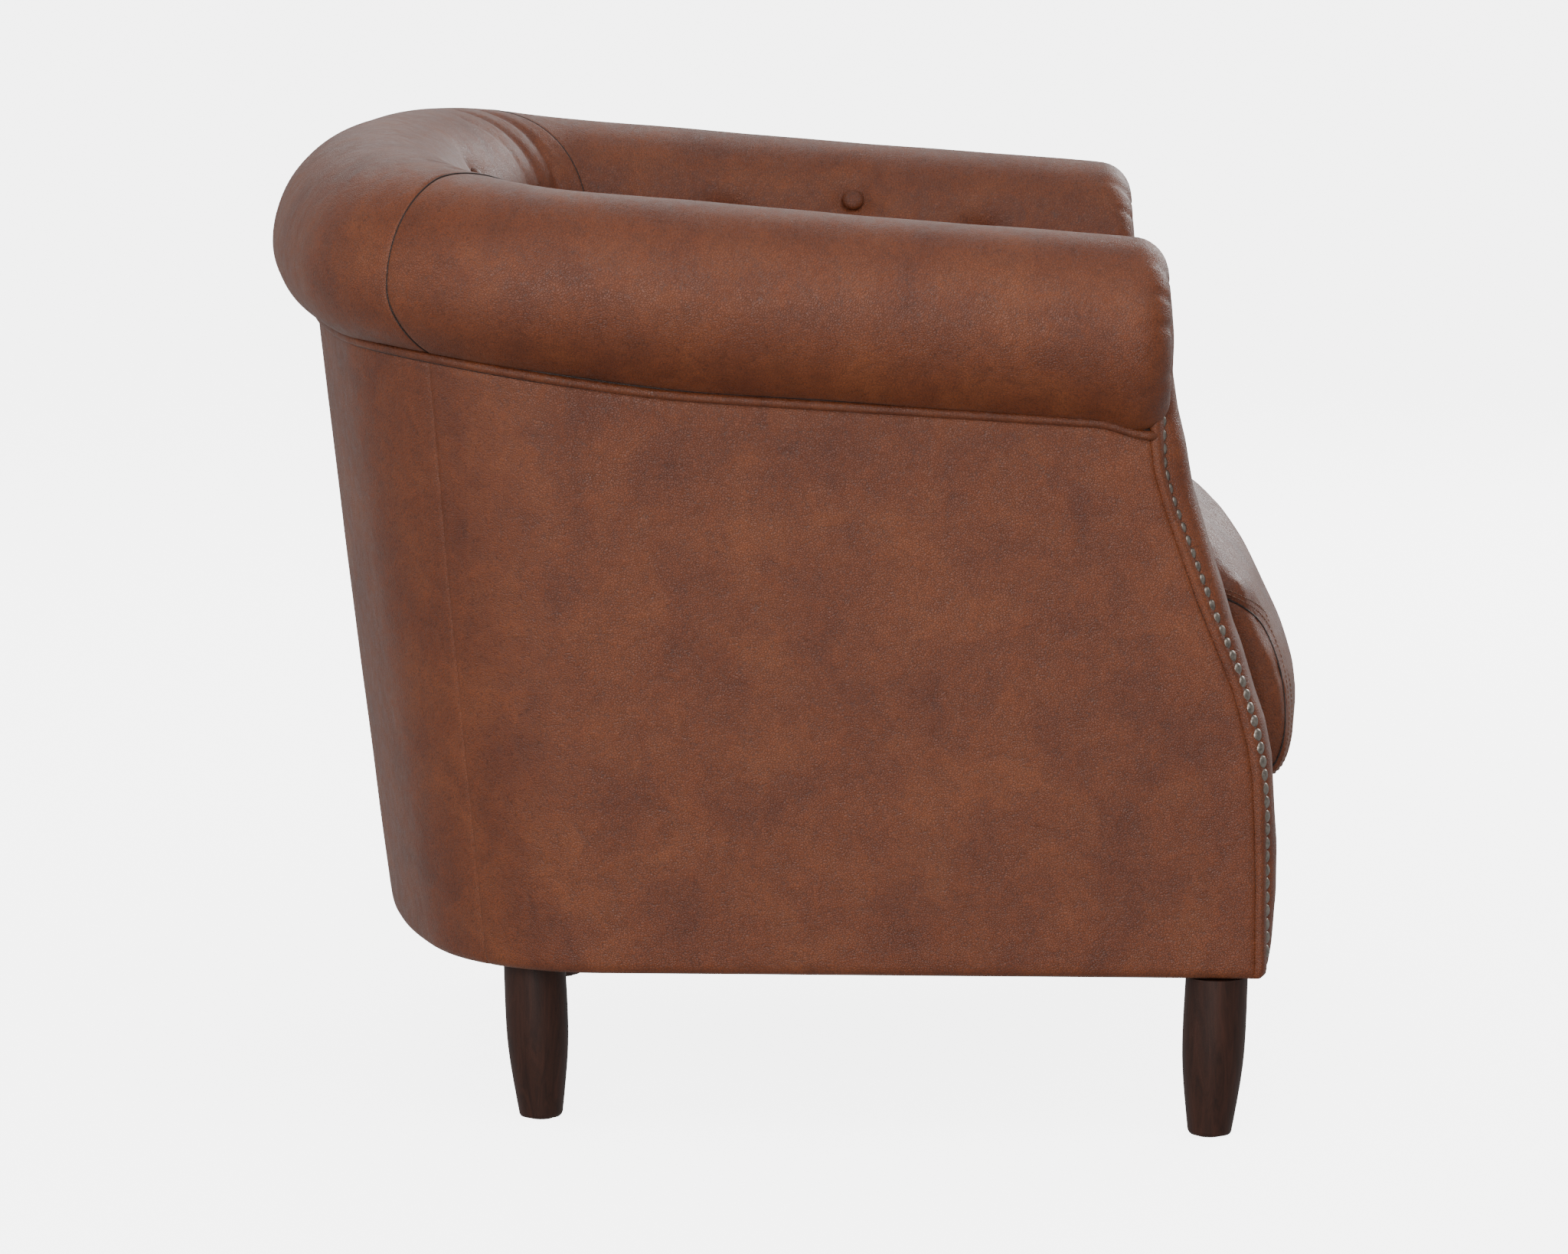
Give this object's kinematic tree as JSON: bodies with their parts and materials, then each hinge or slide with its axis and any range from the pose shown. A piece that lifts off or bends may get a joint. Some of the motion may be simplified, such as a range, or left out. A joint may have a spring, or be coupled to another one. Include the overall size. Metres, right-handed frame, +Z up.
{
  "type": "upholstered armchair",
  "caption": "Leather club armchair with rolled arms flowing into a rolled back, loose crowned seat cushion, nailhead trimmed arm fronts and turned wood feet.",
  "frame": {"origin": "middle of the chair's bounding box, on the floor", "axes": "+Z up, the chair faces -Y, the sitter's right arm is at -X"},
  "size_m": [0.822, 0.8672, 0.7901],
  "materials": {
    "leather": "waxed pull-up leather, mid brown",
    "leg_wood": "espresso stain, satin lacquer",
    "frame_wood": "raw hardwood and plywood",
    "padding": "foam and polyester wrap",
    "webbing": "jute webbing",
    "black_cloth": "black cambric and decking cloth",
    "plated_steel": "zinc plated",
    "nail_metal": "antiqued pewter tone",
    "glide": "nylon",
    "zip_tape": "dark brown woven tape",
    "zip_metal": "antiqued"
  },
  "bodies": {
    "chair": {"arm_front_cover_left": "leather", "arm_front_cover_right": "leather", "arm_roll_cover_left": "leather", "arm_roll_cover_right": "leather", "arm_roll_foam_left": "padding", "arm_roll_foam_right": "padding", "arm_webbing": "webbing", "back_roll_cover": "leather", "back_roll_foam": "padding", "back_webbing": "webbing", "dust_cover": "black_cloth", "foot_glides": "glide", "frame_arm_front_board_left": "frame_wood", "frame_arm_front_board_right": "frame_wood", "frame_arm_rail_left": "frame_wood", "frame_arm_rail_right": "frame_wood", "frame_back_post_left": "frame_wood", "frame_back_post_right": "frame_wood", "frame_back_rail": "frame_wood", "frame_back_stays": "frame_wood", "frame_back_top_rail": "frame_wood", "frame_front_rail": "frame_wood", "frame_leg_blocks": "frame_wood", "frame_side_rail_left": "frame_wood", "frame_side_rail_right": "frame_wood", "front_border_cover": "leather", "front_border_welt": "leather", "hanger_bolts": "plated_steel", "inside_arm_cover_left": "leather", "inside_arm_cover_right": "leather", "inside_arm_foam_left": "padding", "inside_arm_foam_right": "padding", "inside_back_cover": "leather", "inside_back_foam": "padding", "leg_front_left": "leg_wood", "leg_front_right": "leg_wood", "leg_plate_screws": "plated_steel", "leg_plates": "plated_steel", "leg_rear_left": "leg_wood", "leg_rear_right": "leg_wood", "nailhead_trim_left": "nail_metal", "nailhead_trim_right": "nail_metal", "outside_arm_cover_left": "leather", "outside_arm_cover_right": "leather", "outside_back_cover": "leather", "roll_welt": "leather", "seat_deck_cover": "black_cloth", "seat_deck_pad": "padding", "seat_insulator": "black_cloth", "seat_spring_clips": "plated_steel", "seat_springs": "plated_steel", "tufting_buttons": "leather"},
    "seat_cushion": {"cushion_core": "padding", "cushion_cover": "leather", "zipper_tape": "zip_tape"},
    "zip_slider": {"zipper_slider": "zip_metal"},
    "zip_pull": {"zipper_pull": "zip_metal"}
  },
  "joints": [
    {"name": "cushion_lift", "type": "slide", "parent": "chair", "child": "seat_cushion", "axis": [0, 0, 1], "range_m": [0, 0.45]},
    {"name": "zip_slide", "type": "hinge", "parent": "seat_cushion", "child": "zip_slider", "pos_m": [0, -0.442, 0.35], "axis": [0, 0, -1], "range_deg": [0, 32.92]},
    {"name": "pull_swing", "type": "hinge", "parent": "zip_slider", "child": "zip_pull", "pos_m": [-0.1721, 0.14051, 0.35], "axis": [0.959, 0.2833, 0], "range_deg": [0, 40]}
  ]
}
